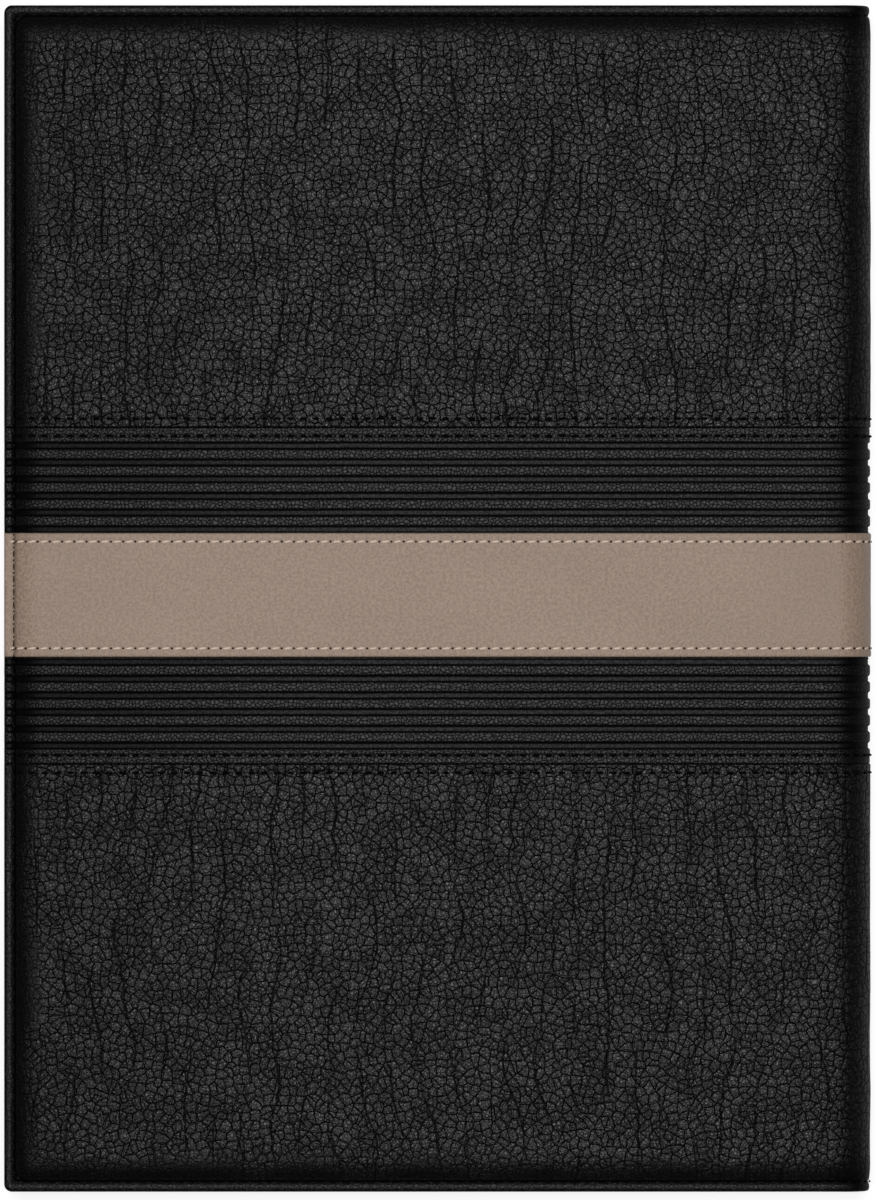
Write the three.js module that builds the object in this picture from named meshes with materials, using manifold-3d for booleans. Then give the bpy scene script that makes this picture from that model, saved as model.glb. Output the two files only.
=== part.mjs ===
// An A4 writing folder, closed and lying on its front cover, in millimetres.
// Two padded covers hang on a soft rolled spine. X runs from the fore edge (-) to the spine (+),
// Y from the foot (-) to the head (+), and Z from the front cover up to the back cover.
import * as THREE from "three";
import { mergeVertices } from "three/addons/utils/BufferGeometryUtils.js";
import Module from "manifold-3d";

const wasm = await Module();
wasm.setup();

// The closed folder
const folderWidth = 245;
const folderHeight = 335;
const folderThickness = 25;
const spineRollRadius = 10;
const coverCornerRadius = 3;

// The layers of a cover, from the outside in, and the room between two of them
const leatherThickness = 1.3;
const foamThickness = 2.6;
const boardThickness = 1.8;
const liningThickness = 0.6;
const layerGap = 0.25;

// The flat stitched rim round a cover and the padded rise inside it
const rimWidth = 3.4;
const riseWidth = 6.5;
const padCornerRadius = 9;
const stitchInset = 2.8;
const stitchGrooveWidth = 0.7;
const stitchGrooveDepth = 0.3;

// The band across the middle and the ribbed panel that it is sewn to
const bandWidth = 35.3;
const bandCentreY = 0.8;
const ribbedPanelWidth = 95;
const ribDrop = 0.35;
const channelDepth = 0.5;
const channelWidth = 1.73;
const channelPitch = 4.72;
const channelsPerSide = 6;
const firstChannelFromBand = 1.2;
const seamGap = 0.3;
const seamValleyWidth = 0.8;
const seamValleyDepth = 0.5;

// The spine
const spineHemWidth = 6.5;
const spineHemDrop = 0.5;
const stiffenerWidth = 8;
const stiffenerThickness = 1.2;
const spineFoamThickness = 1.15;
const spineFoamWidth = 7;
const spineFillingEndGap = 4.5;
const boardToRoll = 1;
const creaseGap = 0.3;

// The lining of a cover ends at the gutter strip, which covers the board's edge and the crease
const liningEndMargin = 0.3;
const gutterStripWidth = 12.5;
const gutterStripEndMargin = 2;

// The front cover's pockets and pen loop
const pocketThickness = 0.7;
const pocketMargin = 4;
const pocketCorner = 2;
const documentPocketHeight = 225;
const thumbCutWidth = 60;
const thumbCutDepth = 12;
const cardPocketCount = 3;
const cardPocketWidth = 100;
const cardPocketThickness = 0.6;
const cardPocketHeight = 66;
const cardPocketStep = 14;
const cardPocketFromForeEdge = 22;
const cardPocketFromFoot = 110;
const penLoopWidth = 11;
const penLoopHeight = 9.5;
const penLoopLength = 22;
const penLoopWall = 0.9;
const penLoopCorner = 4.2;
const penLoopFromBoardEdge = 7.5;

// The writing pad and its pocket inside the back cover
const padSheetsThickness = 4.2;
const padBackingThickness = 0.8;
const padPocketHeight = 112;
const padPocketEndGap = 1;
const padCorner = 1;
const padFromForeEdge = 8.5;
const padFromSpine = 26.5;
const padFromFoot = 17.5;
const padFromHead = 20.5;
const padTapeWidth = 14;
const padTapeThickness = 0.3;
const padTapeGap = 0.1;

// Fineness of the round forms, and room that a cutting form has beyond what it cuts
const cornerSegments = 5;
const rollSegments = 8;
const riseSegments = 4;
const cutMargin = 30;

// Sizes that follow from those above
const foreEdgeX = -folderWidth / 2;
const spineX = folderWidth / 2;
const halfHeight = folderHeight / 2;
const rollCentreX = spineX - spineRollRadius;
const rimLevel = foamThickness + layerGap;
const boardLevel = rimLevel + leatherThickness + layerGap;
const liningLevel = boardLevel + boardThickness + layerGap;
const innerLevel = liningLevel + liningThickness;
const boardEndX = rollCentreX - boardToRoll;
const liningEndX = boardEndX - gutterStripWidth;
const channelDrop = ribDrop + channelDepth;
const bandThickness = channelDrop - layerGap;
const creaseAngle = Math.PI / 4;
const padWidth = folderWidth - padFromForeEdge - padFromSpine;
const padHeight = folderHeight - padFromFoot - padFromHead;

const colours = {
  leather: 0x1c1b1b,
  ribbed: 0x212020,
  band: 0x9c8a7b,
  foam: 0x4a4a4a,
  board: 0x8f8578,
  lining: 0x262424,
  paper: 0xf2f0ea,
  card: 0xb39b78,
  tape: 0x2c2b2d,
  elastic: 0x191919,
};

// A closed three.js geometry as a solid that can be joined and cut.
function solidOf(geometry) {
  const bare = geometry.clone();
  bare.deleteAttribute("normal");
  bare.deleteAttribute("uv");
  const merged = mergeVertices(bare, 1e-4);
  return new wasm.Manifold(
    new wasm.Mesh({
      numProp: 3,
      vertProperties: merged.attributes.position.array,
      triVerts: new Uint32Array(merged.index.array),
    }),
  );
}

// A solid back as a three.js geometry.
function geometryOf(solid) {
  const mesh = solid.getMesh();
  const geometry = new THREE.BufferGeometry();
  geometry.setAttribute("position", new THREE.BufferAttribute(mesh.vertProperties, 3));
  geometry.setIndex(new THREE.BufferAttribute(mesh.triVerts, 1));
  geometry.computeVertexNormals();
  return geometry;
}

// A block between the given limits along each axis.
function block(x, y, z) {
  const box = new THREE.BoxGeometry(x[1] - x[0], y[1] - y[0], z[1] - z[0]);
  box.translate((x[0] + x[1]) / 2, (y[0] + y[1]) / 2, (z[0] + z[1]) / 2);
  return solidOf(box);
}

function roundedRectangle(x, y, radius) {
  const quarter = Math.PI / 2;
  const shape = new THREE.Shape();
  shape.absarc(x[1] - radius, y[0] + radius, radius, -quarter, 0);
  shape.absarc(x[1] - radius, y[1] - radius, radius, 0, quarter);
  shape.absarc(x[0] + radius, y[1] - radius, radius, quarter, 2 * quarter);
  shape.absarc(x[0] + radius, y[0] + radius, radius, 2 * quarter, 3 * quarter);
  shape.closePath();
  return shape;
}

// A flat piece of that outline between two heights.
function plate(shape, z) {
  const geometry = new THREE.ExtrudeGeometry(shape, {
    depth: z[1] - z[0],
    bevelEnabled: false,
    curveSegments: cornerSegments,
  });
  geometry.translate(0, 0, z[0]);
  return geometry;
}

// A bar along Y whose section is drawn in the XZ plane.
function barAlongY(section, y) {
  const geometry = new THREE.ExtrudeGeometry(section, {
    depth: y[1] - y[0],
    bevelEnabled: false,
    curveSegments: rollSegments,
  });
  geometry.rotateX(Math.PI / 2);
  geometry.translate(0, y[1], 0);
  return geometry;
}

// A pad that rises in a soft quarter round from its outline, with its crown at the level given.
function crownedPad(shape, crown, rise, top) {
  const geometry = new THREE.ExtrudeGeometry(shape, {
    depth: top - crown - rise,
    bevelEnabled: true,
    bevelThickness: rise,
    bevelSize: riseWidth,
    bevelOffset: -riseWidth,
    bevelSegments: riseSegments,
    curveSegments: cornerSegments,
  });
  geometry.translate(0, 0, crown + rise);
  return geometry;
}

// The outline of a cover, moved in by inset. On the spine side it ends at endX.
function coverOutline(inset, endX, radius) {
  return roundedRectangle(
    [foreEdgeX + inset, endX],
    [-halfHeight + inset, halfHeight - inset],
    radius,
  );
}

// The C-shaped section of the whole folder at the spine, moved in by inset.
function rolledBar(inset, y) {
  const radius = spineRollRadius - inset;
  const farX = foreEdgeX - cutMargin;
  const section = new THREE.Shape();
  section.moveTo(farX, inset);
  section.lineTo(rollCentreX, inset);
  section.absarc(rollCentreX, spineRollRadius, radius, -Math.PI / 2, 0);
  section.absarc(rollCentreX, folderThickness - spineRollRadius, radius, 0, Math.PI / 2);
  section.lineTo(farX, folderThickness - inset);
  section.closePath();
  return solidOf(barAlongY(section, y));
}

// The padded outer form of a cover with its flat rim, moved in by inset.
function coverForm(inset) {
  const farX = spineX + cutMargin;
  const top = folderThickness + cutMargin;
  const pad = crownedPad(
    coverOutline(rimWidth + inset, farX, padCornerRadius - inset),
    inset,
    rimLevel,
    top,
  );
  const rim = plate(
    coverOutline(inset, farX, coverCornerRadius - inset),
    [rimLevel + inset, top],
  );
  const far = halfHeight + cutMargin;
  return solidOf(pad).add(solidOf(rim)).intersect(rolledBar(inset, [-far, far]));
}

// The part of space that belongs to a cover: up to the crease line through the roll's centre.
function coverSide() {
  const section = new THREE.Shape();
  section.moveTo(foreEdgeX - cutMargin, -cutMargin);
  section.lineTo(rollCentreX + spineRollRadius + cutMargin - creaseGap / 2, -cutMargin);
  section.lineTo(rollCentreX - creaseGap / 2, spineRollRadius);
  section.lineTo(foreEdgeX - cutMargin, spineRollRadius);
  section.closePath();
  const far = halfHeight + cutMargin;
  return solidOf(barAlongY(section, [-far, far]))
    .intersect(block([foreEdgeX - cutMargin, spineX + cutMargin], [-far, far], [-cutMargin, innerLevel]));
}

// The part of space that belongs to the spine: between the two crease lines.
function spineSide() {
  const section = new THREE.Shape();
  section.moveTo(rollCentreX + creaseGap / 2, spineRollRadius);
  section.lineTo(rollCentreX + cutMargin + creaseGap / 2, spineRollRadius - cutMargin);
  section.lineTo(rollCentreX + cutMargin + creaseGap / 2, folderThickness - spineRollRadius + cutMargin);
  section.lineTo(rollCentreX + creaseGap / 2, folderThickness - spineRollRadius);
  section.closePath();
  const far = halfHeight + cutMargin;
  return solidOf(barAlongY(section, [-far, far]));
}

// A slab of all that lies between two values of Y.
function crossSlab(y) {
  const far = folderWidth + cutMargin;
  return block([-far, far], y, [-far, far]);
}

// The narrow groove of the perimeter stitching, a ring on the rim.
function stitchGroove() {
  const farX = spineX + cutMargin;
  const outer = stitchInset - stitchGrooveWidth / 2;
  const inner = stitchInset + stitchGrooveWidth / 2;
  const depth = [-cutMargin, rimLevel + stitchGrooveDepth];
  const radius = (inset) => Math.max(coverCornerRadius - inset, stitchGrooveDepth);
  return solidOf(plate(coverOutline(outer, farX, radius(outer)), depth))
    .subtract(solidOf(plate(coverOutline(inner, farX, radius(inner)), depth)));
}

// The ribbed panel's channels and the bed of the band, each as a range of Y.
function channelRanges(centreY) {
  const ranges = [[centreY - bandWidth / 2, centreY + bandWidth / 2]];
  for (const side of [-1, 1]) {
    for (let i = 0; i < channelsPerSide; i += 1) {
      const middle = centreY + side * (bandWidth / 2 + firstChannelFromBand + i * channelPitch);
      ranges.push([middle - channelWidth / 2, middle + channelWidth / 2]);
    }
  }
  return ranges;
}

// The leather of one body: grain panels at head and foot, a ribbed panel between, and the band on it.
// form gives the body's outer form at any depth, and space is the part of space that it may fill.
function leatherPanels(form, space, centreY) {
  const inside = form(leatherThickness);
  const seams = [centreY - ribbedPanelWidth / 2, centreY + ribbedPanelWidth / 2];
  const panel = (drop, y) => form(drop).intersect(crossSlab(y)).intersect(space).subtract(inside);
  const valleys = seams
    .map((y) => crossSlab([y - seamValleyWidth / 2, y + seamValleyWidth / 2]))
    .reduce((all, slab) => all.add(slab))
    .subtract(form(seamValleyDepth));
  const channels = channelRanges(centreY)
    .map((range) => crossSlab(range))
    .reduce((all, slab) => all.add(slab))
    .subtract(form(channelDrop));
  const bandRange = [centreY - bandWidth / 2 + seamGap, centreY + bandWidth / 2 - seamGap];
  return {
    low_grain: panel(0, [-halfHeight, seams[0] - seamGap / 2]).subtract(valleys),
    ribbed: panel(ribDrop, [seams[0] + seamGap / 2, seams[1] - seamGap / 2])
      .subtract(valleys)
      .subtract(channels),
    high_grain: panel(0, [seams[1] + seamGap / 2, halfHeight]).subtract(valleys),
    band: form(0).intersect(crossSlab(bandRange)).intersect(space).subtract(form(bandThickness)),
  };
}

// The outline of a ribbon of even thickness that follows a line of points.
function ribbonSection(line, thickness) {
  const edge = (side) =>
    line.map((point, i) => {
      const before = line[Math.max(i - 1, 0)];
      const after = line[Math.min(i + 1, line.length - 1)];
      const arriving = point.clone().sub(before).normalize();
      const leaving = after.clone().sub(point).normalize();
      if (i === 0) arriving.copy(leaving);
      if (i === line.length - 1) leaving.copy(arriving);
      const along = arriving.add(leaving).normalize();
      const mitre = thickness / 2 / Math.abs(along.dot(leaving));
      return new THREE.Vector2(-along.y, along.x).multiplyScalar(side * mitre).add(point);
    });
  return new THREE.Shape([...edge(1), ...edge(-1).reverse()]);
}

// Points of an arc about a roll's centre, from one angle to another.
function rollArc(centreZ, radius, from, to) {
  const points = [];
  for (let i = 0; i <= rollSegments / 2; i += 1) {
    const angle = from + ((to - from) * i) / (rollSegments / 2);
    points.push(
      new THREE.Vector2(rollCentreX + radius * Math.cos(angle), centreZ + radius * Math.sin(angle)),
    );
  }
  return points;
}

// The middle of the gutter's lining lies at this radius about each roll's centre.
const gutterRadius = spineRollRadius - rimLevel - leatherThickness - layerGap - liningThickness / 2;
const creaseGapAngle = creaseGap / 2 / gutterRadius;

// The strip that lines the crease side of a cover: over the board, down its edge and into the roll.
function gutterStrip() {
  const lipX = boardEndX + layerGap + liningThickness / 2;
  const flatZ = liningLevel + liningThickness / 2;
  const line = [
    new THREE.Vector2(liningEndX + layerGap, flatZ),
    new THREE.Vector2(lipX, flatZ),
    new THREE.Vector2(lipX, spineRollRadius - gutterRadius),
    ...rollArc(spineRollRadius, gutterRadius, -2 * creaseAngle, -creaseAngle - creaseGapAngle),
  ];
  const end = halfHeight - gutterStripEndMargin;
  return solidOf(barAlongY(ribbonSection(line, liningThickness), [-end, end]));
}

// The lining of the spine, between the two creases.
function spineLining() {
  const upperZ = folderThickness - spineRollRadius;
  const line = [
    ...rollArc(spineRollRadius, gutterRadius, -creaseAngle + creaseGapAngle, 0),
    ...rollArc(upperZ, gutterRadius, 0, creaseAngle - creaseGapAngle),
  ];
  const end = halfHeight - gutterStripEndMargin;
  return solidOf(barAlongY(ribbonSection(line, liningThickness), [-end, end]));
}

// The outer form of the spine, moved in by inset, with its hems at head and foot a little lower.
function spineForm(inset) {
  const hemStart = halfHeight - spineHemWidth;
  return rolledBar(inset, [-hemStart, hemStart])
    .add(rolledBar(Math.min(inset + spineHemDrop, leatherThickness), [-halfHeight, halfHeight]));
}

const roughnesses = { leather: 0.55, ribbed: 0.5, band: 0.5, lining: 0.8 };
const mattRoughness = 0.9;

function material(name) {
  return new THREE.MeshStandardMaterial({
    color: colours[name],
    roughness: roughnesses[name] ?? mattRoughness,
    metalness: 0,
    flatShading: true,
  });
}

// Adds a named mesh to a group, from a solid or from a geometry.
function addMesh(group, name, form, materialName) {
  const geometry = form.isBufferGeometry ? form : geometryOf(form);
  const mesh = new THREE.Mesh(geometry, material(materialName));
  mesh.name = name;
  group.add(mesh);
  return mesh;
}

// What both covers have, in a frame whose Z runs from the cover's outside to its inside.
function paddedCover(side, centreY) {
  const cover = new THREE.Group();
  const panels = leatherPanels(coverForm, coverSide(), centreY);
  const rollOpening = block(
    [boardEndX + layerGap, spineX + cutMargin],
    [-folderHeight, folderHeight],
    [rimLevel + leatherThickness, folderThickness],
  );
  const groove = stitchGroove();
  const finished = (solid) => solid.subtract(rollOpening).subtract(groove);
  addMesh(cover, `${side}_grain_panel_head`, finished(panels.high_grain), "leather");
  addMesh(cover, `${side}_ribbed_panel`, finished(panels.ribbed), "ribbed");
  addMesh(cover, `${side}_band`, finished(panels.band), "band");
  addMesh(cover, `${side}_grain_panel_foot`, finished(panels.low_grain), "leather");

  const layerInset = leatherThickness + layerGap;
  const foam = crownedPad(
    coverOutline(rimWidth + layerInset, boardEndX, padCornerRadius - layerInset),
    layerInset,
    foamThickness,
    boardLevel + cutMargin,
  );
  const foamSpace = block(
    [-folderWidth, folderWidth],
    [-folderHeight, folderHeight],
    [0, boardLevel - layerGap],
  );
  addMesh(cover, `${side}_foam_pad`, solidOf(foam).intersect(foamSpace), "foam");

  const boardCorner = coverCornerRadius - layerInset;
  const boardTop = boardLevel + boardThickness;
  const boardOutline = coverOutline(layerInset, boardEndX, boardCorner);
  addMesh(cover, `${side}_board`, plate(boardOutline, [boardLevel, boardTop]), "board");
  const liningOutline = coverOutline(layerInset + liningEndMargin, liningEndX, boardCorner);
  addMesh(cover, `${side}_lining`, plate(liningOutline, [liningLevel, innerLevel]), "lining");
  addMesh(cover, `${side}_gutter_strip`, gutterStrip(), "lining");
  return cover;
}

// The front cover lies with its outside down, and holds the pockets and the pen loop.
function frontCover() {
  const cover = paddedCover("front", bandCentreY);
  cover.name = "front_cover";
  const pocketZ = innerLevel + layerGap;
  const low = { x: foreEdgeX + pocketMargin, y: -halfHeight + pocketMargin };
  const mouthY = low.y + documentPocketHeight;
  const right = liningEndX - pocketMargin;
  const pocket = new THREE.Shape();
  pocket.moveTo(low.x, low.y);
  pocket.lineTo(right, low.y);
  pocket.lineTo(right, mouthY);
  const middle = (low.x + right) / 2;
  pocket.lineTo(middle + thumbCutWidth / 2, mouthY);
  pocket.absellipse(middle, mouthY, thumbCutWidth / 2, thumbCutDepth, 0, Math.PI, true);
  pocket.lineTo(low.x, mouthY);
  pocket.closePath();
  const pocketTop = pocketZ + pocketThickness;
  addMesh(cover, "front_document_pocket", plate(pocket, [pocketZ, pocketTop]), "lining");

  for (let i = 0; i < cardPocketCount; i += 1) {
    const z = pocketTop + layerGap + i * (cardPocketThickness + layerGap);
    const x = foreEdgeX + cardPocketFromForeEdge;
    const y = -halfHeight + cardPocketFromFoot;
    const mouth = y + cardPocketHeight - i * cardPocketStep;
    const card = roundedRectangle([x, x + cardPocketWidth], [y, mouth], pocketCorner);
    addMesh(cover, `front_card_pocket_${i + 1}`, plate(card, [z, z + cardPocketThickness]), "lining");
  }

  const loopX = boardEndX - penLoopFromBoardEdge;
  const loop = roundedRectangle(
    [loopX - penLoopWidth / 2, loopX + penLoopWidth / 2],
    [pocketZ, pocketZ + penLoopHeight],
    penLoopCorner,
  );
  loop.holes.push(
    roundedRectangle(
      [loopX - penLoopWidth / 2 + penLoopWall, loopX + penLoopWidth / 2 - penLoopWall],
      [pocketZ + penLoopWall, pocketZ + penLoopHeight - penLoopWall],
      penLoopCorner - penLoopWall,
    ),
  );
  addMesh(cover, "front_pen_loop", barAlongY(loop, [-penLoopLength / 2, penLoopLength / 2]), "elastic");
  return cover;
}

// The back cover is the front cover's twin turned over, and holds the writing pad.
// Its frame is turned half round X, so that its own +Y points to the foot.
function backCover() {
  const cover = paddedCover("back", -bandCentreY);
  cover.name = "back_cover";
  cover.rotation.x = Math.PI;
  cover.position.z = folderThickness;

  const footY = halfHeight - padFromFoot;
  const padX = [foreEdgeX + padFromForeEdge, foreEdgeX + padFromForeEdge + padWidth];
  const padY = [footY - padHeight, footY];
  const backingZ = innerLevel + layerGap;
  const pocketZ = backingZ + padBackingThickness + layerGap;
  const pocketTop = pocketZ + pocketThickness;
  const sheetsZ = pocketTop + layerGap;
  const sheetsTop = sheetsZ + padSheetsThickness;
  const padOutline = roundedRectangle(padX, padY, padCorner);
  const backingTop = backingZ + padBackingThickness;
  addMesh(cover, "pad_backing_board", plate(padOutline, [backingZ, backingTop]), "card");
  const pocketX = [foreEdgeX + pocketMargin, liningEndX - padPocketEndGap];
  const pocketY = [halfHeight - pocketMargin - padPocketHeight, halfHeight - pocketMargin];
  const pocketOutline = roundedRectangle(pocketX, pocketY, pocketCorner);
  addMesh(cover, "back_pad_pocket", plate(pocketOutline, [pocketZ, pocketTop]), "lining");
  addMesh(cover, "pad_sheets", plate(padOutline, [sheetsZ, sheetsTop]), "paper");

  const headY = padY[0] - padTapeGap;
  const tapeTop = sheetsTop + padTapeGap;
  const tapeStart = headY - padTapeThickness;
  const tape = block(padX, [tapeStart, tapeStart + padTapeWidth], [tapeTop, tapeTop + padTapeThickness])
    .add(block(padX, [tapeStart, headY], [backingZ, tapeTop + padTapeThickness]));
  addMesh(cover, "pad_head_tape", tape, "tape");
  return cover;
}

// The soft spine between the two creases.
function spine() {
  const group = new THREE.Group();
  group.name = "spine";
  const panels = leatherPanels(spineForm, spineSide(), bandCentreY);
  addMesh(group, "spine_grain_panel_head", panels.high_grain, "leather");
  addMesh(group, "spine_ribbed_panel", panels.ribbed, "ribbed");
  addMesh(group, "spine_band", panels.band, "band");
  addMesh(group, "spine_grain_panel_foot", panels.low_grain, "leather");

  const middleZ = folderThickness / 2;
  const end = halfHeight - spineFillingEndGap;
  const stiffenerX = spineX - leatherThickness - layerGap;
  const foamX = stiffenerX - stiffenerThickness - layerGap;
  const filling = (outerX, thickness, width) =>
    block(
      [outerX - thickness, outerX],
      [-end, end],
      [middleZ - width / 2, middleZ + width / 2],
    );
  addMesh(group, "spine_stiffener", filling(stiffenerX, stiffenerThickness, stiffenerWidth), "board");
  addMesh(group, "spine_foam", filling(foamX, spineFoamThickness, spineFoamWidth), "foam");
  addMesh(group, "spine_lining", spineLining(), "lining");
  return group;
}

const folder = new THREE.Group();
folder.name = "writing_folder";
folder.add(frontCover(), spine(), backCover());

export default folder;
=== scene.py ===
"""Looks of a padded A4 writing folder with a soft rolled spine, in metres."""

import logging
import math
from dataclasses import dataclass
from enum import Enum
from typing import Any, Iterable, Sequence
import bpy
import numpy as np
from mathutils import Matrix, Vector


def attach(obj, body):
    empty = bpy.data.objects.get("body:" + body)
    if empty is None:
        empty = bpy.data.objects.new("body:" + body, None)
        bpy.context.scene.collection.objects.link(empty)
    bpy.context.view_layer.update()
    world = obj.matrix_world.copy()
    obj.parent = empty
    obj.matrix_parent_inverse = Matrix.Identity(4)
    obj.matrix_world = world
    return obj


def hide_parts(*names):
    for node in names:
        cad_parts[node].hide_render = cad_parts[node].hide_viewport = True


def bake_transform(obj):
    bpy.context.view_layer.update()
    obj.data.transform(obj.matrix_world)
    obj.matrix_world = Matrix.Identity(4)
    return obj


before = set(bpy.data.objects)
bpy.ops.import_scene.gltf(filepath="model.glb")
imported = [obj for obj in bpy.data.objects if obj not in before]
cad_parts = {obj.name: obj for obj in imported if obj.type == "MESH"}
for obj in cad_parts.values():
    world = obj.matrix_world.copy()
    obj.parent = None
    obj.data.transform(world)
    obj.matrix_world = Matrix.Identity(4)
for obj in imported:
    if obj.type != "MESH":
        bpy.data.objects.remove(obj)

log = logging.getLogger("folder")

MM = 0.001
TINY = 1e-6

# Sizes of the folder in millimetres, from the middle of its underside.
FORE_EDGE = -122.5
SPINE = 122.5
HALF_HEIGHT = 167.5
THICKNESS = 25.0
ROLL_RADIUS = 10.0
ROLL_CENTRE = SPINE - ROLL_RADIUS
FLAT_LENGTH = ROLL_CENTRE - FORE_EDGE
ARC_LENGTH = ROLL_RADIUS * math.pi / 2
HALF_LENGTH = FLAT_LENGTH + ARC_LENGTH + THICKNESS / 2 - ROLL_RADIUS
RIM_DEPTH = 2.85
BAND_CENTRE = 0.8
SEAM_HALF = 47.5
BAND_HALF = 17.5
BAND_SHIFT = 0.2
SKIN = 1.3
STITCH_INSET = 2.8
ROW_INSET = 2.45
ROW_STEP = 0.5

# Distances from a panel's edge of the grid's first lines, close together where the leather folds.
EDGE_LINES = (0, 0.07, 0.2, 0.4, 0.65)
RIM_LINES = (*EDGE_LINES, 1.0, 1.4, 1.8, 2.1, 2.35, 2.55, 2.8, 3.05, 3.3, 3.6, 4.0, 4.5, 5.1)


class Half(Enum):
    """One leather half of the folder, from its fore edge to the middle of the spine."""

    UPPER = "back"
    LOWER = "front"


class SmoothNoise:
    """Seeded value noise on a lattice with smooth steps between its points."""

    def __init__(self, seed: int, size: int = 97) -> None:
        """Fill the lattice.

        Args:
            seed: Seed of the random lattice.
            size: Number of lattice points each way.
        """
        self.size = size
        self.lattice = np.random.default_rng(seed).random((size, size)) * 2 - 1

    def at(self, x: np.ndarray, y: np.ndarray) -> np.ndarray:
        """Return noise from -1 to 1 at lattice coordinates."""
        x0, y0 = np.floor(x).astype(int), np.floor(y).astype(int)
        fx, fy = x - x0, y - y0
        sx, sy = fx * fx * (3 - 2 * fx), fy * fy * (3 - 2 * fy)
        x0, y0 = x0 % self.size, y0 % self.size
        x1, y1 = (x0 + 1) % self.size, (y0 + 1) % self.size
        low = self.lattice[x0, y0] * (1 - sx) + self.lattice[x1, y0] * sx
        high = self.lattice[x0, y1] * (1 - sx) + self.lattice[x1, y1] * sx
        return low * (1 - sy) + high * sy

    def fractal(self, x: np.ndarray, y: np.ndarray, octaves: int = 3) -> np.ndarray:
        """Return a sum of octaves, each half as strong and twice as fine."""
        total = np.zeros_like(x)
        for octave in range(octaves):
            scale = 2.0**octave
            total += self.at(x * scale + 17.3 * octave, y * scale + 5.1 * octave) / scale
        return total


def smooth_step(low: float, high: float, value: np.ndarray) -> np.ndarray:
    """Return 0 below low, 1 above high and a smooth rise between them."""
    t = np.clip((value - low) / (high - low), 0, 1)
    return t * t * (3 - 2 * t)


def groove(offset: np.ndarray, width: float) -> np.ndarray:
    """Return a soft dip of depth 1 at offset 0 that fades at the given width."""
    return np.exp(-((offset / width) ** 2))


def quarter_round(share: np.ndarray) -> np.ndarray:
    """Return how far a quarter circle has fallen, from 0 to 1, at a share of its width."""
    return 1 - np.sqrt(np.maximum(1 - share * share, 0))


def on_roll(u: np.ndarray, start: float, end: float) -> np.ndarray:
    """Return a rise from 0 to 1 between two distances past the point where the roll starts."""
    return smooth_step(FLAT_LENGTH + start, FLAT_LENGTH + end, u)


def grey(level: float) -> tuple[float, float, float]:
    """Return a grey colour."""
    return (level, level, level)


def bend(piece: bpy.types.Object, half: Half) -> bpy.types.Object:
    """Bake a piece's transform into its mesh, the same way for either half.

    Args:
        piece: The piece.
        half: The half that it belongs to.

    Returns:
        The piece.
    """
    if half is Half.LOWER:
        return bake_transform(piece)
    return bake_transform(piece)


@dataclass(frozen=True)
class Sock:
    """A socket in a shader tree that takes part in Python expressions."""

    tree: "Tree"
    socket: Any

    def math(self, operation: str, *others: Any) -> "Sock":
        """Return this value joined to the others by a Math node."""
        values = {i: value for i, value in enumerate((self, *others))}
        return self.tree.node("ShaderNodeMath", {"operation": operation}, values)

    def __add__(self, other: Any) -> "Sock":
        """Return the sum."""
        return self.math("ADD", other)

    __radd__ = __add__

    def __sub__(self, other: Any) -> "Sock":
        """Return the difference."""
        return self.math("SUBTRACT", other)

    def __rsub__(self, other: Any) -> "Sock":
        """Return the difference, the other way round."""
        return self.tree.node("ShaderNodeMath", {"operation": "SUBTRACT"}, {0: other, 1: self})

    def __mul__(self, other: Any) -> "Sock":
        """Return the product."""
        return self.math("MULTIPLY", other)

    __rmul__ = __mul__

    def __truediv__(self, other: Any) -> "Sock":
        """Return the quotient."""
        return self.math("DIVIDE", other)

    def steps(self, low: float, high: float) -> "Sock":
        """Return 0 below low, 1 above high and a smooth rise between them."""
        settings = {"interpolation_type": "SMOOTHSTEP", "data_type": "FLOAT"}
        values = {"Value": self, "From Min": low, "From Max": high}
        return self.tree.node("ShaderNodeMapRange", settings, values)


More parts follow.
